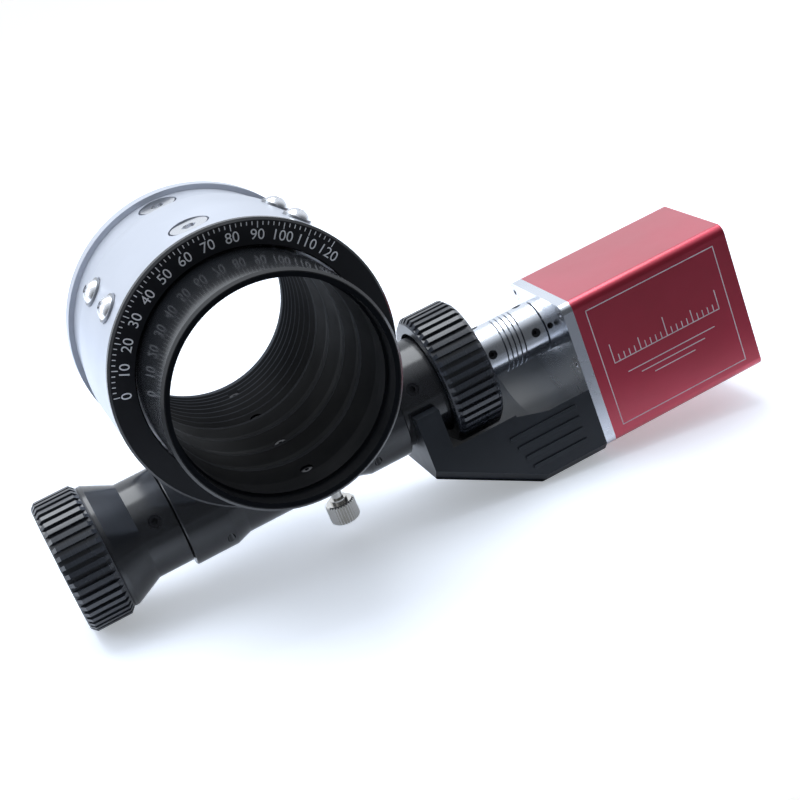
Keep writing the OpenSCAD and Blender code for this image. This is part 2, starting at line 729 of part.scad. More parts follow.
module right_knob_screws() color("#202226")
    for (s = [-1, 1])
        translate([right_knob_x1 - 4.5, axis_y, axis_z]) rotate([s * 45 - 90, 0, 0])
            translate([0, 0, sleeve_r + fit / 4 + 7]) set_screw(3, 7);

module fine_bush() color("DarkGoldenrod") difference() {
    along_x(right_knob_x1 - 1.5 - fine_bush_len, right_knob_x1 - 1.5, sleeve_bore_r);
    along_x(right_knob_x1 - 8, right_knob_x1, fine_r + running);
}

module fine_shaft() color("Silver") along_x(fine_x0, shaft_split - 1.5, fine_r);

module lock_pad() color("DarkGoldenrod")
    translate([lock_x, axis_y, lock_screw_top]) cylinder(h = lock_pad_len, r = lock_pad_r);

module lock_screw() color("White") translate([lock_x, axis_y, 0]) difference() {
    union() {
        translate([0, 0, lock_head_top]) cylinder(h = lock_screw_top - lock_head_top, r = lock_r - fit);
        translate([0, 0, lock_head_top - eps]) cylinder(h = 1.2, r = lock_r + 0.9);
        translate([0, 0, lock_head_top]) rotate_extrude() polygon([[0, 0], [lock_head_d / 2 - 0.6, 0],
            [lock_head_d / 2, -0.6], [lock_head_d / 2, -lock_head_h + 0.6],
            [lock_head_d / 2 - 0.6, -lock_head_h], [0, -lock_head_h]]);
    }
    for (i = [0 : 29])
        rotate(i * 12) translate([lock_head_d / 2 + 0.1, 0, lock_head_top - lock_head_h / 2])
            rotate(45) cube([0.8, 0.8, lock_head_h + 2], center = true);
}

module coupling() color("LightSteelBlue") difference() {
    turned_x([[fine_r + fit / 4, coupling_x0], [coupling_r - 0.4, coupling_x0],
        [coupling_r, coupling_x0 + 0.4], [coupling_r, coupling_x1 - 0.4],
        [coupling_r - 0.4, coupling_x1], [fine_r + fit / 4, coupling_x1]]);
    for (i = [0 : slot_count - 1])
        translate([shaft_split + (i - (slot_count - 1) / 2) * 1.7, axis_y, axis_z])
            rotate([0, 90 + slot_tilt, 0]) difference() {
                cylinder(h = slot_w, r = coupling_r + 3, center = true);
                cylinder(h = slot_w + 1, r = coupling_r - 4.5, center = true);
            }
    coupling_screw_places() translate([0, 0, -coupling_r]) cylinder(h = coupling_r + 2, d = coupling_screw_d + fit);
}

// The coupling's set screws: two at each end, a quarter turn apart
module coupling_screw_places()
    for (x = [coupling_x0 + coupling_screw_inset, coupling_x1 - coupling_screw_inset], turn = [0, 90])
        off_shaft(x, coupling_screw_angle + turn, coupling_r) children();

module coupling_screws() color("#202226")
    coupling_screw_places() translate([0, 0, -1.2]) set_screw(coupling_screw_d, coupling_r - fine_r - 1.4);

// Cuts a chamfer along a straight lower edge of the bracket, from one point to another in XZ
module edge_cut(from, to, side) {
    run = norm(to - from);
    slope = atan2(from[1] - to[1], to[0] - from[0]);
    translate([from[0], axis_y + side * bracket_w / 2, from[1]]) rotate([0, slope, 0])
        translate([-6, 0, 0]) rotate([45, 0, 0])
            cube([run + 12, bracket_chamfer * sqrt(2), bracket_chamfer * sqrt(2)], center = false);
}

low_z = axis_z - bracket_low;
shallow_z = axis_z - bracket_shallow;

module motor_bracket() color("#26282c") difference() {
    translate([0, axis_y + bracket_w / 2, 0]) rotate([90, 0, 0]) linear_extrude(bracket_w)
        polygon([[bracket_x0, axis_z - bracket_lip], [bracket_x0, shallow_z], [foot_x0, low_z],
            [plate_x0, low_z], [plate_x0, axis_z - bracket_lip]]);
    for (s = [-1, 1]) {
        translate([0, 0, -bracket_chamfer]) edge_cut([bracket_x0, shallow_z], [foot_x0, low_z], s);
        translate([0, 0, -bracket_chamfer]) edge_cut([foot_x0, low_z], [plate_x0, low_z], s);
    }
    along_x(bracket_x0 - 1, cradle_x1 + 1, cap_r + fit / 2);
    along_x(cradle_x1, slope_x0, knob_slot_r);
    translate([0, -saddle_shift, 0]) {
        cone_x(slope_x0 - eps, slope_x1, knob_slot_r, saddle_r);
        along_x(slope_x1 - eps, plate_x0 + 1, saddle_r);
    }
    for (s = [-1, 1]) {
        translate([bracket_screw_x, axis_y + s * bracket_screw_y, low_z - 1]) {
            cylinder(h = bracket_low + 1, d = 3 + 2 * fit);
            cylinder(h = bracket_low - bracket_shallow + bracket_screw_seat + 1, d = 6.4);
        }
        along_x(plate_x0 - 12, plate_x0 + 1, 1.5, axis_y + s * bracket_plate_screw_y, bracket_plate_screw_z);
    }
}

module bracket_cap_screws() color("Silver")
    for (s = [-1, 1])
        translate([bracket_screw_x, axis_y + s * bracket_screw_y, shallow_z]) difference() {
            union() {
                cylinder(h = 13, d = 3);
                translate([0, 0, bracket_screw_seat - 3]) cylinder(h = 3, d = 5.6);
            }
            translate([0, 0, bracket_screw_seat - 3]) mirror([0, 0, 1]) hex_socket(2.5, 1.5);
        }

module bracket_plate_screws() color("Silver")
    for (s = [-1, 1])
        translate([plate_x1, axis_y + s * bracket_plate_screw_y, bracket_plate_screw_z]) rotate([0, 90, 0])
            flat_screw(2.9, 5.2, 14);

// Places along YZ of the plate's four corner screws
plate_screw_yz = [for (sy = [-1, 1], sz = [-1, 1])
    [axis_y + sy * plate_hole_w / 2, plate_hole_z + sz * plate_hole_h / 2]];

module motor_plate() color("LightSteelBlue") difference() {
    union() {
        case_slab(plate_x0, plate_x1);
        along_x(nose_x0, plate_x0 + eps, coupling_r);
    }
    along_x(nose_x0 - 1, plate_x0 + 1, 5);
    along_x(plate_x0 + 0.4, plate_x1 + 1, coupling_r - 1 + fit);
    for (p = plate_screw_yz)
        translate([plate_x0, p[0], p[1]]) rotate([0, -90, 0])
            flat_screw_hole(plate_screw_d, plate_screw_head, plate_t + 1);
    for (s = [-1, 1])
        translate([plate_x1, axis_y + s * bracket_plate_screw_y, bracket_plate_screw_z]) rotate([0, 90, 0])
            flat_screw_hole(2.9, 5.2, plate_t + 1);
    off_shaft(nose_x0 + nose_len / 2, coupling_screw_angle, coupling_r)
        translate([0, 0, -coupling_r + 4]) cylinder(h = coupling_r + 2, d = nose_screw_d + fit);
}

module nose_screw() color("#202226")
    off_shaft(nose_x0 + nose_len / 2, coupling_screw_angle, coupling_r)
        translate([0, 0, -0.6]) set_screw(nose_screw_d, 2.6);

module plate_screws() color("Silver")
    for (p = plate_screw_yz)
        translate([plate_x0, p[0], p[1]]) rotate([0, -90, 0])
            flat_screw(plate_screw_d, plate_screw_head, plate_screw_len);

module gearmotor() color("DimGray") difference() {
    union() {
        along_x(plate_x1, plate_x1 + gearbox_len, gearbox_d / 2, axis_y, gearbox_z);
        along_x(plate_x1 + gearbox_len - eps, plate_x1 + gearbox_len + motor_len, motor_d / 2,
            axis_y, gearbox_z);
        along_x(plate_x0 + 0.5, plate_x1 + eps, coupling_r - 1);
    }
    along_x(plate_x0 - 1, plate_x1 + 8, fine_r + running);
}

module motor_shaft() color("Silver") along_x(shaft_split + 1.5, plate_x1 + 7.5, fine_r);

module motor_case() color("#9c1524") difference() {
    union() {
        difference() {
            case_slab(plate_x1, case_x1);
            case_slab(plate_x1 - 1, case_x1 + 1, case_wall);
        }
        intersection() {
            case_slab(plate_x1, case_x1, case_wall / 2);
            union() {
                for (p = plate_screw_yz)
                    along_x(plate_x1, plate_x1 + plate_screw_len + 1, lug_r, p[0], p[1]);
                for (sy = [-1, 1], sz = [-1, 1])
                    along_x(case_x1 - 9, case_x1, lug_r, axis_y + sy * cover_screw_w / 2,
                        case_mid + sz * cover_screw_h / 2);
            }
        }
    }
    for (p = plate_screw_yz)
        along_x(plate_x1 - 1, plate_x1 + plate_screw_len, (plate_screw_d + fit) / 2, p[0], p[1]);
    for (sy = [-1, 1], sz = [-1, 1])
        along_x(case_x1 - 8, case_x1 + 1, (cover_screw_d + fit) / 2, axis_y + sy * cover_screw_w / 2,
            case_mid + sz * cover_screw_h / 2);
}

module end_cover() color("#9c1524") difference() {
    case_slab(case_x1, cover_x1);
    for (sy = [-1, 1], sz = [-1, 1])
        translate([cover_x1, axis_y + sy * cover_screw_w / 2, case_mid + sz * cover_screw_h / 2])
            rotate([0, 90, 0]) flat_screw_hole(cover_screw_d, 4.6, 9);
    along_x(case_x1 - 1, cover_x1 + 1, power_d / 2 + fit, axis_y + power_y, inlet_z);
    translate([case_x1 - 1, axis_y + data_y - data_w / 2 - fit, inlet_z - data_h / 2 - fit])
        cube([cover_t + 2, data_w + 2 * fit, data_h + 2 * fit]);
}

module cover_screws() color("Silver")
    for (sy = [-1, 1], sz = [-1, 1])
        translate([cover_x1, axis_y + sy * cover_screw_w / 2, case_mid + sz * cover_screw_h / 2])
            rotate([0, 90, 0]) flat_screw(cover_screw_d, 4.6, 9);

module circuit_board() color("DarkGreen") union() {
    translate([board_x0, axis_y - board_w / 2, board_z]) cube([board_x1 - board_x0, board_w, board_t]);
    for (x = [board_x0 + 5, board_x1 - 14], s = [-1, 1])
        translate([x, axis_y + s * (board_w / 2 - 4), case_bottom + case_wall])
            cylinder(h = board_z - case_bottom - case_wall + eps, r = 2);
}

module power_inlet() color("#202226") difference() {
    union() {
        along_x(board_x1 - 9, cover_x1, power_d / 2, axis_y + power_y, inlet_z);
        translate([board_x1 - 9, axis_y + power_y - 3.5, board_z + board_t])
            cube([9, 7, inlet_z - board_z - board_t]);
    }
    along_x(board_x1 - 4, cover_x1 + 1, 2.8, axis_y + power_y, inlet_z);
}

module data_inlet() color("Silver") difference() {
    union() {
        translate([board_x1 - 9, axis_y + data_y - data_w / 2, inlet_z - data_h / 2])
            cube([cover_x1 - board_x1 + 9, data_w, data_h]);
        translate([board_x1 - 9, axis_y + data_y - 3.5, board_z + board_t])
            cube([9, 7, inlet_z - data_h / 2 - board_z - board_t + eps]);
    }
    translate([board_x1 - 2, axis_y + data_y - data_w / 2 + 0.5, inlet_z - data_h / 2 + 0.5])
        cube([cover_x1, data_w - 1, data_h - 1]);
}

body_housing();
rear_flange();
rear_flange_screws();
face_ring();
drawtube();
rack();
rack_screws();
guide_pads();
guide_washers();
guide_screws();
clamp_screws();
pinion_housing();
housing_screws();
left_bearing();
right_bearing();
left_cap();
right_cap();
cap_screws();
pinion_shaft();
left_knob();
left_knob_screw();
right_knob();
right_knob_screws();
fine_bush();
fine_shaft();
lock_pad();
lock_screw();
coupling();
coupling_screws();
motor_bracket();
bracket_cap_screws();
bracket_plate_screws();
motor_plate();
plate_screws();
nose_screw();
gearmotor();
motor_shaft();
motor_case();
end_cover();
cover_screws();
circuit_board();
power_inlet();
data_inlet();
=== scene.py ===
import math

import bmesh
import bpy
from mathutils import Matrix, Quaternion, Vector


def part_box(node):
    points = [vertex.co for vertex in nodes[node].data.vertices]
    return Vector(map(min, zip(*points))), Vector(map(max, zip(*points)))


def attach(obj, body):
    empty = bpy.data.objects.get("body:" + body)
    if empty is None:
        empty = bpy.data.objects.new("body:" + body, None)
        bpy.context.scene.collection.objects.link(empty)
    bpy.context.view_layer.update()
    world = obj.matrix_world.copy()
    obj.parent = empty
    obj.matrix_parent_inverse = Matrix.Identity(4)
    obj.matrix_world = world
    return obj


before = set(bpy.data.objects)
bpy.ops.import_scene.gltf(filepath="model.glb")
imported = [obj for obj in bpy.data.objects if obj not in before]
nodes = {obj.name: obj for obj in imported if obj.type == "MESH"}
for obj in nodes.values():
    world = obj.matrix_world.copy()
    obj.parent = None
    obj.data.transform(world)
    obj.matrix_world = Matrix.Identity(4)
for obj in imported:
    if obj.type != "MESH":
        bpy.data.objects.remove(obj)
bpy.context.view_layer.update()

MM = 0.001
PAINT = 0.02 * MM  # thickness of painted and etched marks

# ---------------------------------------------------------------- places from the frame
ring_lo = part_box("face_ring")[0]
knob_lo, knob_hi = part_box("left_knob")
case_lo, case_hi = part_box("motor_case")
bracket_lo, bracket_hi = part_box("motor_bracket")
shaft_y = (knob_lo[1] + knob_hi[1]) / 2
shaft_z = (knob_lo[2] + knob_hi[2]) / 2


# ---------------------------------------------------------------- camera
def add_camera():
    """A long lens a little above and to the left of the drawtube's mouth, rolled so that the shaft
    climbs to the right."""
    camera = bpy.data.objects.new("camera", bpy.data.cameras.new("camera"))
    camera.data.lens = 73.4
    camera.data.sensor_width = 36.0
    camera.data.clip_start = 0.01
    azimuth, elevation, roll = (math.radians(a) for a in (13.353, 23.343, -21.758))
    level = math.cos(elevation)
    look = Vector((math.sin(azimuth) * level, math.cos(azimuth) * level, -math.sin(elevation)))
    camera.rotation_mode = "QUATERNION"
    camera.rotation_quaternion = look.to_track_quat("-Z", "Y") @ Quaternion((0, 0, 1), roll)
    camera.location = (-0.06878, -0.50827, 0.16524)
    bpy.context.collection.objects.link(camera)
    bpy.context.scene.camera = camera


add_camera()
bpy.context.scene.view_settings.view_transform = "Standard"


# ---------------------------------------------------------------- material building blocks
def new_group(name, inputs, outputs):
    """An empty shader group with named inputs (name, type, default) and outputs (name, type)."""
    group = bpy.data.node_groups.new(name, "ShaderNodeTree")
    for label, kind, default in inputs:
        socket = group.interface.new_socket(label, in_out="INPUT", socket_type=kind)
        socket.default_value = default
    for label, kind in outputs:
        group.interface.new_socket(label, in_out="OUTPUT", socket_type=kind)
    return group, group.nodes.new("NodeGroupInput"), group.nodes.new("NodeGroupOutput")


def node(tree, kind, **settings):
    """A new node. A setting that starts with in_ is an input's value, by its number or its name."""
    made = tree.nodes.new(kind)
    for key, value in settings.items():
        if key.startswith("in_"):
            place = key[3:]
            place = int(place) if place.isdigit() else place.replace("_", " ").title()
            made.inputs[place].default_value = value
        else:
            setattr(made, key, value)
    return made


def make_smudge_group():
    """Handling marks: broad cloudy patches and fine specks, as two masks."""
    group, source, sink = new_group(
        "handling marks",
        [("Patch size", "NodeSocketFloat", 60.0), ("Speck size", "NodeSocketFloat", 900.0),
         ("Specks", "NodeSocketFloat", 0.3)],
        [("Patches", "NodeSocketFloat"), ("Specks", "NodeSocketFloat")],
    )
    link = group.links.new
    place = node(group, "ShaderNodeTexCoord")
    cloud = node(group, "ShaderNodeTexNoise", in_detail=4.0, in_roughness=0.6)
    link(place.outputs["Object"], cloud.inputs["Vector"])
    link(source.outputs["Patch size"], cloud.inputs["Scale"])
    spread = node(group, "ShaderNodeMapRange", in_1=0.35, in_2=0.65)
    link(cloud.outputs[0], spread.inputs[0])
    link(spread.outputs[0], sink.inputs["Patches"])
    dots = node(group, "ShaderNodeTexVoronoi", in_randomness=1.0)
    link(place.outputs["Object"], dots.inputs["Vector"])
    link(source.outputs["Speck size"], dots.inputs["Scale"])
    near = node(group, "ShaderNodeMapRange", in_1=0.12, in_2=0.05)
    link(dots.outputs["Distance"], near.inputs[0])
    rare = node(group, "ShaderNodeMath", operation="LESS_THAN", in_1=0.12)
    link(dots.outputs["Color"], rare.inputs[0])
    both = node(group, "ShaderNodeMath", operation="MULTIPLY")
    link(near.outputs[0], both.inputs[0])
    link(rare.outputs[0], both.inputs[1])
    scaled = node(group, "ShaderNodeMath", operation="MULTIPLY")
    link(both.outputs[0], scaled.inputs[0])
    link(source.outputs["Specks"], scaled.inputs[1])
    link(scaled.outputs[0], sink.inputs["Specks"])
    return group


def make_turned_group():
    """Lathe marks: fine rings about an axis, as a height and a mask. The axis comes in as a direction."""
    group, source, sink = new_group(
        "lathe marks",
        [("Axis", "NodeSocketVector", (0, 1, 0)), ("Rings per metre", "NodeSocketFloat", 4000.0),
         ("Waver", "NodeSocketFloat", 0.4)],
        [("Height", "NodeSocketFloat"), ("Mask", "NodeSocketFloat")],
    )
    link = group.links.new
    place = node(group, "ShaderNodeTexCoord")
    along = node(group, "ShaderNodeVectorMath", operation="DOT_PRODUCT")
    link(place.outputs["Object"], along.inputs[0])
    link(source.outputs["Axis"], along.inputs[1])
    drift = node(group, "ShaderNodeTexNoise", in_scale=30.0, in_detail=2.0)
    link(place.outputs["Object"], drift.inputs["Vector"])
    count = node(group, "ShaderNodeMath", operation="MULTIPLY")
    link(along.outputs["Value"], count.inputs[0])
    link(source.outputs["Rings per metre"], count.inputs[1])
    push = node(group, "ShaderNodeMath", operation="MULTIPLY_ADD")
    link(drift.outputs[0], push.inputs[0])
    link(source.outputs["Waver"], push.inputs[1])
    link(count.outputs[0], push.inputs[2])
    rings = node(group, "ShaderNodeTexNoise", noise_dimensions="1D", in_detail=3.0, in_roughness=0.7)
    rings.inputs["Scale"].default_value = 1.0
    link(push.outputs[0], rings.inputs["W"])
    link(rings.outputs[0], sink.inputs["Height"])
    mask = node(group, "ShaderNodeMapRange", in_1=0.4, in_2=0.62)
    link(rings.outputs[0], mask.inputs[0])
    link(mask.outputs[0], sink.inputs["Mask"])
    return group


def make_blast_group():
    """The fine sandy texture of bead-blasted, anodised metal, as a height and a tint mask."""
    group, source, sink = new_group(
        "blasted grain",
        [("Grain size", "NodeSocketFloat", 5000.0)],
        [("Height", "NodeSocketFloat"), ("Tint", "NodeSocketFloat")],
    )
    link = group.links.new
    place = node(group, "ShaderNodeTexCoord")
    grain = node(group, "ShaderNodeTexNoise", in_detail=2.0, in_roughness=0.5)
    link(place.outputs["Object"], grain.inputs["Vector"])
    link(source.outputs["Grain size"], grain.inputs["Scale"])
    link(grain.outputs[0], sink.inputs["Height"])
    cloud = node(group, "ShaderNodeTexNoise", in_scale=25.0, in_detail=3.0)
    link(place.outputs["Object"], cloud.inputs["Vector"])
    spread = node(group, "ShaderNodeMapRange", in_1=0.4, in_2=0.6)
    link(cloud.outputs[0], spread.inputs[0])
    link(spread.outputs[0], sink.inputs["Tint"])
    return group


def make_layer_group():
    """The stacked lines of a printed part, across one axis, with a little wobble."""
    group, source, sink = new_group(
        "print layers",
        [("Axis", "NodeSocketVector", (0, 0, 1)), ("Layers per metre", "NodeSocketFloat", 5000.0)],
        [("Height", "NodeSocketFloat")],
    )
    link = group.links.new
    place = node(group, "ShaderNodeTexCoord")
    along = node(group, "ShaderNodeVectorMath", operation="DOT_PRODUCT")
    link(place.outputs["Object"], along.inputs[0])
    link(source.outputs["Axis"], along.inputs[1])
    turn = node(group, "ShaderNodeMath", operation="MULTIPLY")
    link(along.outputs["Value"], turn.inputs[0])
    link(source.outputs["Layers per metre"], turn.inputs[1])
    wave = node(group, "ShaderNodeMath", operation="PINGPONG", in_1=1.0)
    link(turn.outputs[0], wave.inputs[0])
    link(wave.outputs[0], sink.inputs["Height"])
    return group


handling_marks = make_smudge_group()
lathe_marks = make_turned_group()
blasted_grain = make_blast_group()
print_layers = make_layer_group()


def start_material(name, colour, metallic, roughness, **sockets):
    """A material with its Principled shader, and constant values set on the shader's own sockets."""
    material = bpy.data.materials.new(name)
    material.use_nodes = True
    shader = material.node_tree.nodes["Principled BSDF"]
    shader.inputs["Base Color"].default_value = (*colour, 1)
    shader.inputs["Metallic"].default_value = metallic
    shader.inputs["Roughness"].default_value = roughness
    for label, value in sockets.items():
        shader.inputs[label.replace("_", " ").title().replace("Ior", "IOR")].default_value = value
    return material, shader


def place_group(tree, group, **values):
    """Places a shader group in a material, with its own input values."""
    made = tree.nodes.new("ShaderNodeGroup")
    made.node_tree = group
    for label, value in values.items():
        made.inputs[label.replace("_", " ")].default_value = value
    return made


def vary_roughness(tree, shader, mask, low, high):
    """Roughness that runs from low to high over a mask."""
    spread = node(tree, "ShaderNodeMapRange", in_3=low, in_4=high)
    tree.links.new(mask, spread.inputs[0])
    tree.links.new(spread.outputs[0], shader.inputs["Roughness"])


def tint(tree, shader, mask, colour, other):
    """Base colour that runs from one colour to another over a mask."""
    mix = node(tree, "ShaderNodeMix", data_type="RGBA")
    mix.inputs["A"].default_value = (*colour, 1)
    mix.inputs["B"].default_value = (*other, 1)
    tree.links.new(mask, mix.inputs["Factor"])
    tree.links.new(mix.outputs["Result"], shader.inputs["Base Color"])
    return mix


def raise_surface(tree, shader, height, distance, strength=1.0):
    """Fine relief on the surface, from a height and the distance that a height of 1 stands for."""
    bump = node(tree, "ShaderNodeBump", in_strength=strength, in_distance=distance)
    tree.links.new(height, bump.inputs["Height"])
    tree.links.new(bump.outputs["Normal"], shader.inputs["Normal"])


def turned_metal(name, colour, wear_and_highlight, metallic, low, high, axis, rings=4000.0, depth=2e-6, **sockets):
    """Metal off the lathe: rings about an axis, cloudy handling marks in the roughness and a few specks."""
    material, shader = start_material(name, colour, metallic, low, **sockets)
    tree = material.node_tree
    marks = place_group(tree, handling_marks, Patch_size=45.0, Speck_size=700.0)
    lathe = place_group(tree, lathe_marks, Axis=axis, Rings_per_metre=rings)
    vary_roughness(tree, shader, marks.outputs["Patches"], low, high)
    tint(tree, shader, lathe.outputs["Mask"], colour, wear_and_highlight)
    raise_surface(tree, shader, lathe.outputs["Height"], depth)
    return material


def blasted_metal(name, colour, other, metallic, low, high, grain=4000.0, depth=4e-6, **sockets):
    """Bead-blasted and anodised metal: fine sandy grain and slight cloudiness."""
    material, shader = start_material(name, colour, metallic, low, **sockets)
    tree = material.node_tree
    marks = place_group(tree, handling_marks, Patch_size=30.0, Speck_size=600.0)
    blast = place_group(tree, blasted_grain, Grain_size=grain)
    vary_roughness(tree, shader, marks.outputs["Patches"], low, high)
    tint(tree, shader, blast.outputs["Tint"], colour, other)
    raise_surface(tree, shader, blast.outputs["Height"], depth)
    return material


along_tube, along_shaft, upward = (0, 1, 0), (1, 0, 0), (0, 0, 1)
silver_body = blasted_metal("silver body", (0.55, 0.58, 0.65), (0.59, 0.62, 0.69), 0.6, 0.34, 0.42)
gloss_black = turned_metal("gloss black anodised", (0.010, 0.011, 0.013), (0.016, 0.017, 0.020),
                           0.0, 0.13, 0.22, along_shaft, ior=1.7)
knob_black = turned_metal("knob black anodised", (0.024, 0.027, 0.034), (0.034, 0.038, 0.047),
                          0.0, 0.22, 0.32, along_shaft, ior=1.7)
ring_black = turned_metal("face ring black", (0.010, 0.011, 0.013), (0.014, 0.015, 0.018),
                          0.0, 0.12, 0.2, along_tube)
steel = turned_metal("polished steel", (0.72, 0.73, 0.76), (0.8, 0.81, 0.84), 1.0, 0.14, 0.24, upward)
washer_steel = turned_metal("washer steel", (0.30, 0.31, 0.33), (0.38, 0.39, 0.41), 1.0, 0.25, 0.4, upward)
black_steel = turned_metal("blackened steel", (0.025, 0.026, 0.03), (0.04, 0.041, 0.045),
                           0.5, 0.25, 0.38, upward)
nickel = turned_metal("nickel plate", (0.72, 0.70, 0.66), (0.8, 0.78, 0.74), 1.0, 0.14, 0.24, upward)
brass = turned_metal("turned brass", (0.60, 0.42, 0.16), (0.68, 0.5, 0.22), 1.0, 0.2, 0.3, upward)
nylon = blasted_metal("natural nylon", (0.78, 0.76, 0.68), (0.82, 0.8, 0.73), 0.0, 0.4, 0.5)
bright_aluminium = turned_metal("machined aluminium", (0.76, 0.79, 0.85), (0.84, 0.87, 0.92),
                                1.0, 0.16, 0.26, along_shaft, rings=6000.0)
plate_aluminium = blasted_metal("milled aluminium", (0.72, 0.76, 0.83), (0.80, 0.83, 0.89),
                                1.0, 0.2, 0.3, grain=1500.0, depth=3e-6)
motor_paint = blasted_metal("motor can", (0.2, 0.2, 0.21), (0.23, 0.23, 0.24), 0.8, 0.35, 0.45)
red_anodised = blasted_metal("red anodised", (0.50, 0.008, 0.040), (0.55, 0.010, 0.050), 0.8, 0.30, 0.38,
                             coat_weight=1.0, coat_roughness=0.24, coat_ior=1.75)
board_green = blasted_metal("solder mask", (0.02, 0.16, 0.07), (0.03, 0.2, 0.09), 0.0, 0.25, 0.35)
moulded_black = blasted_metal("moulded black", (0.02, 0.02, 0.022), (0.03, 0.03, 0.032), 0.0, 0.35, 0.45)
white_fill = blasted_metal("white paint fill", (0.80, 0.81, 0.84), (0.86, 0.87, 0.90), 0.0, 0.45, 0.55)
pale_etch = blasted_metal("pale laser etch", (0.62, 0.50, 0.54), (0.70, 0.58, 0.62), 0.2, 0.45, 0.55)


def make_radius_group():
    """Two masks about the Y axis: 1 outside a radius, and 1 inside it beyond a place along Y."""
    group, source, sink = new_group(
        "radius masks",
        [("Radius", "NodeSocketFloat", 0.034), ("Start", "NodeSocketFloat", -0.084)],
        [("Mask", "NodeSocketFloat"), ("Inner", "NodeSocketFloat")],
    )
    link = group.links.new
    place = node(group, "ShaderNodeTexCoord")
    flat = node(group, "ShaderNodeVectorMath", operation="MULTIPLY")
    flat.inputs[1].default_value = (1, 0, 1)
    link(place.outputs["Object"], flat.inputs[0])
    radius = node(group, "ShaderNodeVectorMath", operation="LENGTH")
    link(flat.outputs[0], radius.inputs[0])
    outside = node(group, "ShaderNodeMath", operation="GREATER_THAN")
    link(radius.outputs["Value"], outside.inputs[0])
    link(source.outputs["Radius"], outside.inputs[1])
    link(outside.outputs[0], sink.inputs["Mask"])
    split = node(group, "ShaderNodeSeparateXYZ")
    link(place.outputs["Object"], split.inputs[0])
    beyond = node(group, "ShaderNodeMath", operation="GREATER_THAN")
    link(split.outputs["Y"], beyond.inputs[0])
    link(source.outputs["Start"], beyond.inputs[1])
    within = node(group, "ShaderNodeMath", operation="SUBTRACT")
    link(beyond.outputs[0], within.inputs[0])
    link(outside.outputs[0], within.inputs[1])
    inner = node(group, "ShaderNodeMath", operation="MAXIMUM", in_1=0.0)
    link(within.outputs[0], inner.inputs[0])
    link(inner.outputs[0], sink.inputs["Inner"])
    return group


radius_masks = make_radius_group()


def make_tube_black():
    """The drawtube: dull black inside, where it must not shine, with a painted highlight that makes its
    crests a little paler, and a polished coat outside."""
    skin_radius, crest_radius = 0.0338, 0.03189
    # The third colour is a painted highlight: the paler tone that the inner crests get in place of the
    # light they catch.
    dull, dull_other, painted_crest_highlight = (0.005, 0.006, 0.008), (0.008, 0.009, 0.011), (0.055, 0.060, 0.070)
    material, shader = start_material("drawtube black", dull_other, 0.0, 0.45, specular_ior_level=0.05,
                                      coat_roughness=0.13, coat_ior=1.8)
    tree = material.node_tree
    marks = place_group(tree, handling_marks, Patch_size=35.0, Speck_size=500.0)
    lathe = place_group(tree, lathe_marks, Axis=along_tube, Rings_per_metre=2500.0)
    outside = place_group(tree, radius_masks, Radius=skin_radius)
    tree.links.new(outside.outputs["Mask"], shader.inputs["Coat Weight"])
    vary_roughness(tree, shader, marks.outputs["Patches"], 0.50, 0.62)
    black = tint(tree, shader, lathe.outputs["Mask"], dull, dull_other)
    # Painted highlight: the crests inside the bore are coloured paler, as if they caught the light.
    crests = place_group(tree, radius_masks, Radius=crest_radius)
    wear_and_highlight = tint(tree, shader, crests.outputs["Inner"], dull, painted_crest_highlight)
    tree.links.new(black.outputs["Result"], wear_and_highlight.inputs["A"])
    raise_surface(tree, shader, lathe.outputs["Height"], 2e-6)
    return material


tube_black = make_tube_black()


def make_printed_black():
    """Printed plastic: fine layers, a soft sheen and faint cloudiness."""
    material, shader = start_material("printed black", (0.014, 0.018, 0.023), 0.0, 0.4,
                                      specular_ior_level=0.35)
    tree = material.node_tree
    marks = place_group(tree, handling_marks, Patch_size=40.0, Speck_size=900.0)
    layers = place_group(tree, print_layers, Axis=along_tube, Layers_per_metre=5000.0)
    vary_roughness(tree, shader, marks.outputs["Patches"], 0.34, 0.46)
    tint(tree, shader, marks.outputs["Patches"], (0.012, 0.015, 0.020), (0.018, 0.022, 0.029))
    raise_surface(tree, shader, layers.outputs["Height"], 8e-6, 0.4)
    return material


printed_black = make_printed_black()

finish_of = {
    silver_body: ["body_housing", "rear_flange"],
    ring_black: ["face_ring"],
    tube_black: ["drawtube"],
    gloss_black: ["pinion_housing", "left_cap", "right_cap"],
    knob_black: ["left_knob", "right_knob"],
    steel: ["guide_screws", "clamp_screws", "rack", "rear_flange_screws", "left_bearing",
            "right_bearing", "pinion_shaft", "left_knob_screw", "fine_shaft", "motor_shaft",
            "bracket_cap_screws", "bracket_plate_screws", "plate_screws", "cover_screws", "data_inlet"],
    washer_steel: ["guide_washers"],
    black_steel: ["rack_screws", "housing_screws", "cap_screws", "right_knob_screws",
                  "coupling_screws", "nose_screw"],
    nickel: ["lock_screw"],
    brass: ["fine_bush", "lock_pad"],
    nylon: ["guide_pads"],
    bright_aluminium: ["coupling"],
    plate_aluminium: ["motor_plate"],
    motor_paint: ["gearmotor"],
    red_anodised: ["motor_case", "end_cover"],
    board_green: ["circuit_board"],
    moulded_black: ["power_inlet"],
    printed_black: ["motor_bracket"],
}
for finish, names in finish_of.items():
    for name in names:
        for slot in nodes[name].material_slots:
            slot.material = finish


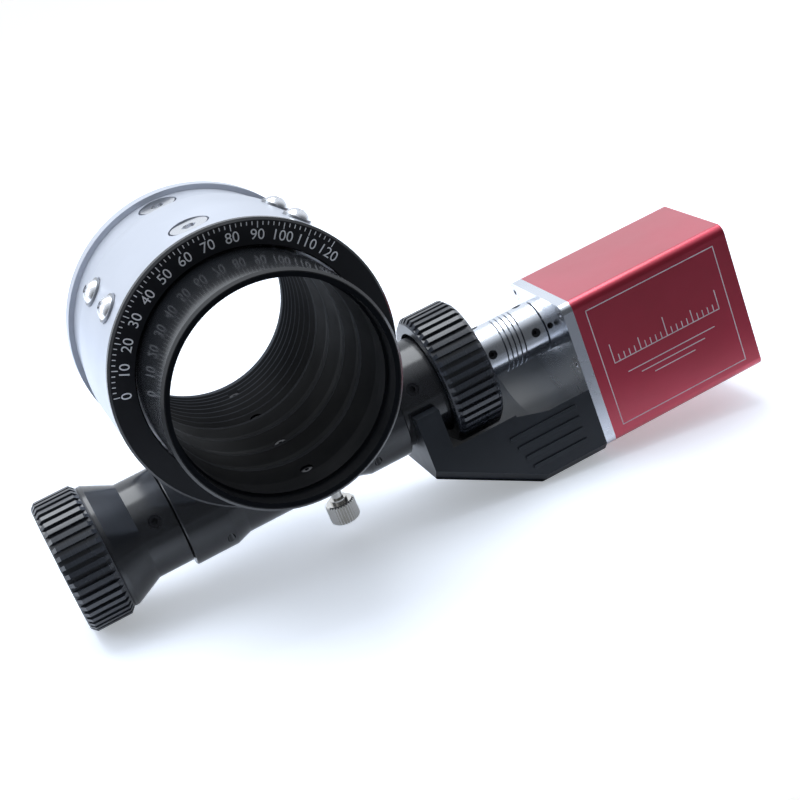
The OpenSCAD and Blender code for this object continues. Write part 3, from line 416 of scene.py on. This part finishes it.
# ---------------------------------------------------------------- washer, marks and raised ribs
def shape_bar(width, height, thick, corner):
    """A flat bar that stands on z = 0, centred on the origin, with its upright edges rounded."""
    bpy.ops.object.select_all(action="DESELECT")
    bpy.ops.mesh.primitive_cube_add(size=1)
    bar = bpy.context.active_object
    bpy.ops.object.mode_set(mode="EDIT")
    bpy.ops.mesh.select_all(action="SELECT")
    bpy.ops.transform.translate(value=(0, 0, 0.5))
    bpy.ops.transform.resize(value=(width, height, thick), center_override=(0, 0, 0))
    bpy.ops.mesh.select_all(action="DESELECT")
    bpy.ops.mesh.select_mode(type="EDGE")
    mesh = bmesh.from_edit_mesh(bar.data)
    for edge in mesh.edges:
        edge.select_set(abs(edge.verts[0].co.z - edge.verts[1].co.z) > thick / 2)
    bmesh.update_edit_mesh(bar.data)
    bpy.ops.mesh.bevel(offset=corner, segments=3, affect="EDGES")
    bpy.ops.object.mode_set(mode="OBJECT")
    return bar


def lay(piece, centre, right, up):
    """Puts a piece down on a plane through centre, with its width along right and its height along up."""
    turn = Matrix((right, up, right.cross(up))).transposed()
    piece.matrix_world = Matrix.Translation(centre) @ turn.to_4x4()
    return piece


def copy_of(piece):
    """A copy with its own mesh."""
    made = piece.copy()
    made.data = piece.data.copy()
    bpy.context.collection.objects.link(made)
    return made


def join_as(name, parts, body, finish):
    """Joins the parts into one named piece at the origin, which rides on a body."""
    bpy.ops.object.select_all(action="DESELECT")
    for part in parts:
        part.select_set(True)
    bpy.context.view_layer.objects.active = parts[0]
    if len(parts) > 1:
        bpy.ops.object.join()
    piece = bpy.context.active_object
    bpy.ops.object.transform_apply(location=True, rotation=True, scale=True)
    piece.name = name
    piece.data.materials.clear()
    piece.data.materials.append(finish)
    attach(piece, body)
    return piece


def add_cap_washer():
    """The thin black washer that fills the gap between the left cap's flare and its knob."""
    radius, width, room = 20.45 * MM, 12.0 * MM, 0.06 * MM
    cap_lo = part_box("left_cap")[0]
    gap = cap_lo[0] - knob_hi[0]
    bpy.ops.object.select_all(action="DESELECT")
    bpy.ops.mesh.primitive_cylinder_add(vertices=96, radius=radius, depth=gap - room)
    washer = bpy.context.active_object
    bpy.ops.object.mode_set(mode="EDIT")
    bpy.ops.mesh.select_all(action="DESELECT")
    bpy.ops.mesh.select_mode(type="FACE")
    mesh = bmesh.from_edit_mesh(washer.data)
    for face in mesh.faces:
        face.select_set(abs(face.normal.z) > 0.5)
    bmesh.update_edit_mesh(washer.data)
    bpy.ops.mesh.inset(thickness=width)
    bpy.ops.mesh.bridge_edge_loops()
    bpy.ops.object.mode_set(mode="OBJECT")
    centre = Vector((cap_lo[0] - gap / 2, shaft_y, shaft_z))
    lay(washer, centre, Vector((0, 1, 0)), Vector((0, 0, 1)))
    join_as("cap_washer", [washer], "focuser", black_steel)


def shape_numeral(words, size, thick):
    """A number as a thin solid that stands on z = 0, centred on the origin."""
    bpy.ops.object.select_all(action="DESELECT")
    bpy.ops.object.text_add()
    text = bpy.context.active_object
    text.data.body = words
    text.data.size = size
    text.data.align_x = "CENTER"
    text.data.align_y = "CENTER"
    text.data.resolution_u = 4
    text.data.extrude = thick / 2
    bpy.ops.object.convert(target="MESH")
    numeral = bpy.context.active_object
    bpy.ops.object.mode_set(mode="EDIT")
    bpy.ops.mesh.select_all(action="SELECT")
    bpy.ops.mesh.remove_doubles(threshold=1e-6)
    bpy.ops.mesh.normals_make_consistent(inside=False)
    bpy.ops.transform.translate(value=(0, 0, thick / 2))
    bpy.ops.object.mode_set(mode="OBJECT")
    return numeral


def add_ring_scale():
    """A dial of white numbers and ticks round the upper part of the face ring."""
    face = Vector((0, ring_lo[1], 0))
    outer, numbers, size = 42.6 * MM, 38.7 * MM, 4.4 * MM
    first, last, steps, per_number = 166.0, 34.0, 60, 5
    heights = {True: 1.9 * MM, False: 1.1 * MM}
    width, corner = 0.28 * MM, 0.1 * MM
    ticks = {long: shape_bar(width, tall, PAINT, corner) for long, tall in heights.items()}
    parts = list(ticks.values())
    for i in range(steps + 1):
        angle = math.radians(first + (last - first) * i / steps)
        up = Vector((math.cos(angle), 0, math.sin(angle)))
        right = Vector((math.sin(angle), 0, -math.cos(angle)))
        numbered = i % per_number == 0
        tick = ticks[numbered] if i < 2 else copy_of(ticks[numbered])
        lay(tick, face + up * (outer - heights[numbered] / 2), right, up)
        if tick not in parts:
            parts.append(tick)
        if numbered:
            numeral = shape_numeral(str(i * 2), size, PAINT)
            parts.append(lay(numeral, face + up * numbers, right, up))
    join_as("ring_scale", parts, "focuser", white_fill)


def add_case_marks():
    """A plain ticked rule and a border, etched on the front of the motor case."""
    face = case_lo[1]
    right, up = Vector((1, 0, 0)), Vector((0, 0, 1))
    x0, x1 = case_lo[0] + 4 * MM, case_hi[0] - 2 * MM
    z0, z1 = case_lo[2] + 5 * MM, case_hi[2] - 5 * MM
    mid_x, mid_z = (x0 + x1) / 2, (z0 + z1) / 2
    line, corner = 0.32 * MM, 0.12 * MM
    parts = []

    def etch(x, z, width, height):
        bar = shape_bar(width, height, PAINT, corner)
        parts.append(lay(bar, Vector((x, face, z)), right, up))

    for z in (z0, z1):
        etch(mid_x, z, x1 - x0 + line, line)
    for x in (x0, x1):
        etch(x, mid_z, line, z1 - z0 + line)
    rule, count = x1 - x0 - 8 * MM, 20
    for i in range(count + 1):
        tall = (7 if i % 10 == 0 else 4.5 if i % 5 == 0 else 2.5) * MM
        etch(mid_x + rule * (i / count - 0.5), mid_z + tall / 2, line, tall)
    etch(mid_x, mid_z, rule + line, line)
    for i in range(3):
        etch(mid_x, mid_z - (5 + 2.2 * i) * MM, (34 - 9 * i) * MM, line)
    join_as("case_marks", parts, "focuser", pale_etch)


def add_bracket_ribs():
    """Plain raised ribs on the front of the printed bracket."""
    right, up = Vector((1, 0, 0)), Vector((0, 0, 1))
    height, raised, corner = 1.5 * MM, 0.5 * MM, 0.5 * MM
    parts = []
    for i in range(4):
        x0, x1 = bracket_hi[0] - (31 - 1.5 * i) * MM, bracket_hi[0] - 6 * MM
        z = bracket_lo[2] + (20.5 - 4.2 * i) * MM
        rib = shape_bar(x1 - x0, height, raised, corner)
        parts.append(lay(rib, Vector(((x0 + x1) / 2, bracket_lo[1], z)), right, up))
    piece = join_as("bracket_ribs", parts, "focuser", printed_black)
    bevel = piece.modifiers.new("edges", "BEVEL")
    bevel.width = 0.15 * MM
    bevel.segments = 2
    bpy.ops.object.modifier_apply(modifier=bevel.name)


add_cap_washer()
add_ring_scale()
add_case_marks()
add_bracket_ribs()


# ---------------------------------------------------------------- floor, lamps and world
def add_floor():
    """A pale sheet that the focuser lies on. It touches the left knob and the bracket's foot, so it
    leans under the part. It ends a little in front of the part and goes dark there for mirrored rays,
    so what faces forward mirrors the dark of the room."""
    lean, size, front_edge = math.radians(8.0), 2.4, -0.24
    glow, mirror_share = 0.36, 0.4
    dark_until, pale_from, dark_level = -0.11, -0.07, 0.14
    pale = (0.87, 0.915, 1.0)
    material, shader = start_material("floor", pale, 0.0, 0.55)
    tree = material.node_tree
    grain = node(tree, "ShaderNodeTexNoise", in_scale=400.0)
    vary_roughness(tree, shader, grain.outputs[0], 0.5, 0.6)
    path = node(tree, "ShaderNodeLightPath")
    seen = node(tree, "ShaderNodeMath", operation="MULTIPLY_ADD", in_1=mirror_share)
    tree.links.new(path.outputs["Is Glossy Ray"], seen.inputs[0])
    tree.links.new(path.outputs["Is Camera Ray"], seen.inputs[2])
    lift = node(tree, "ShaderNodeMath", operation="MULTIPLY", in_1=glow)
    tree.links.new(seen.outputs[0], lift.inputs[0])
    place = node(tree, "ShaderNodeTexCoord")
    split = node(tree, "ShaderNodeSeparateXYZ")
    tree.links.new(place.outputs["Object"], split.inputs[0])
    behind = node(tree, "ShaderNodeMapRange",
                  in_1=dark_until, in_2=pale_from, in_3=dark_level, in_4=1.0)
    tree.links.new(split.outputs["Y"], behind.inputs[0])
    mirrored = node(tree, "ShaderNodeMix", data_type="FLOAT")
    mirrored.inputs["A"].default_value = 1.0
    tree.links.new(path.outputs["Is Glossy Ray"], mirrored.inputs["Factor"])
    tree.links.new(behind.outputs[0], mirrored.inputs["B"])
    fade = node(tree, "ShaderNodeMath", operation="MULTIPLY")
    tree.links.new(lift.outputs[0], fade.inputs[0])
    tree.links.new(mirrored.outputs["Result"], fade.inputs[1])
    shader.inputs["Emission Color"].default_value = (0.92, 0.96, 1.0, 1)
    tree.links.new(fade.outputs[0], shader.inputs["Emission Strength"])
    tint(tree, shader, mirrored.outputs["Result"], (0, 0, 0), pale)
    bpy.ops.object.select_all(action="DESELECT")
    bpy.ops.mesh.primitive_plane_add(size=size, location=(0, size / 2 + front_edge, 0))
    floor = bpy.context.active_object
    floor.name = "floor"
    bpy.ops.object.transform_apply(location=True, rotation=False, scale=False)
    floor.rotation_euler = (0, lean, 0)
    clearance = 0.5 * MM
    floor.location = (0, 0, knob_lo[2] + knob_lo[0] * math.tan(lean) - clearance)
    floor.data.materials.append(material)


def add_lamp(name, place, target, size, watts, colour):
    """A rectangular softbox that faces a target."""
    lamp = bpy.data.objects.new(name, bpy.data.lights.new(name, "AREA"))
    lamp.data.shape = "RECTANGLE"
    lamp.data.size, lamp.data.size_y = size
    lamp.data.energy = watts
    lamp.data.color = colour
    lamp.location = place
    lamp.rotation_euler = (Vector(target) - Vector(place)).to_track_quat("-Z", "Y").to_euler()
    bpy.context.collection.objects.link(lamp)


def set_world():
    """A white tent that is open toward the camera: bright above, behind and at the sides, dark in
    front. Seen straight, it is plain white."""
    dark_side, bright_side, dark_level = -0.45, 0.35, 0.10
    world = bpy.data.worlds.new("studio")
    bpy.context.scene.world = world
    world.use_nodes = True
    tree = world.node_tree
    light = tree.nodes["Background"]
    place = node(tree, "ShaderNodeTexCoord")
    toward = node(tree, "ShaderNodeVectorMath", operation="DOT_PRODUCT")
    toward.inputs[1].default_value = (-0.1, 0.85, 0.55)
    tree.links.new(place.outputs["Generated"], toward.inputs[0])
    fade = node(tree, "ShaderNodeMapRange", interpolation_type="SMOOTHSTEP",
                in_1=dark_side, in_2=bright_side, in_3=dark_level, in_4=1.0)
    tree.links.new(toward.outputs["Value"], fade.inputs[0])
    light.inputs["Color"].default_value = (0.88, 0.93, 1.0, 1)
    tree.links.new(fade.outputs[0], light.inputs["Strength"])
    white = node(tree, "ShaderNodeBackground")
    white.inputs["Color"].default_value = (1, 1, 1, 1)
    white.inputs["Strength"].default_value = 1.0
    path = node(tree, "ShaderNodeLightPath")
    mix = node(tree, "ShaderNodeMixShader")
    tree.links.new(path.outputs["Is Camera Ray"], mix.inputs[0])
    tree.links.new(light.outputs[0], mix.inputs[1])
    tree.links.new(white.outputs[0], mix.inputs[2])
    tree.links.new(mix.outputs[0], tree.nodes["World Output"].inputs["Surface"])


add_floor()
set_world()
add_lamp("overhead softbox", place=(0.05, 0.2, 0.8), target=(0, 0, 0), size=(0.9, 0.7),
         watts=7.0, colour=(0.92, 0.96, 1.0))
add_lamp("left softbox", place=(-0.75, 0.1, 0.45), target=(0, -0.03, 0), size=(0.4, 0.7),
         watts=2.0, colour=(0.85, 0.92, 1.0))
